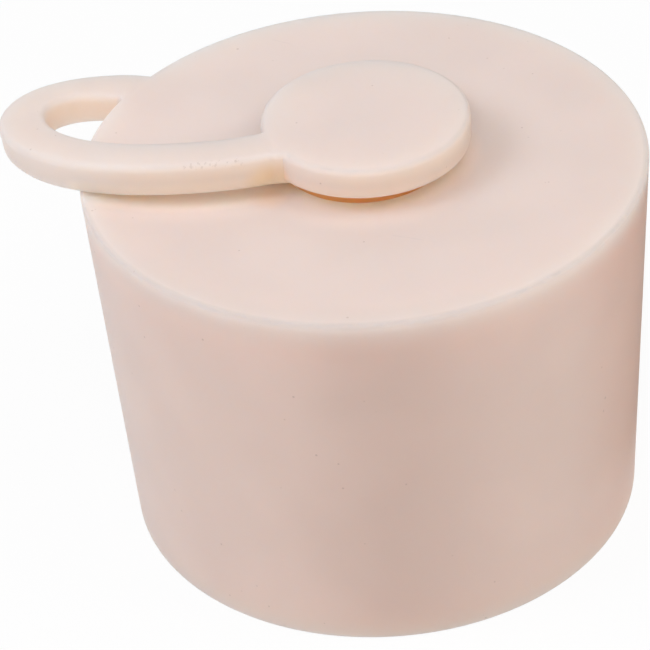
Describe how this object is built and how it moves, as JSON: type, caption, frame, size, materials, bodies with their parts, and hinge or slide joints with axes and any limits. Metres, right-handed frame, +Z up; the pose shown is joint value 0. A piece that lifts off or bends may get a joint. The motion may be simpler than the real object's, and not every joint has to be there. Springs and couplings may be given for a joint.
{
  "type": "rubber bung",
  "caption": "Tapered silicone bung with a through hole, and a captive plug on a looped tether moulded in one piece with its rim.",
  "frame": {"origin": "on the body's axis, in the plane of the base that it stands on", "axes": "+Z up along the body's axis, from the base to the top face; the tether's loop swings out towards -X"},
  "size_m": [0.0644, 0.056, 0.0449],
  "materials": {
    "silicone": "matte to satin, slightly translucent cream silicone"
  },
  "bodies": {
    "root": {"bung": "silicone"}
  },
  "joints": []
}
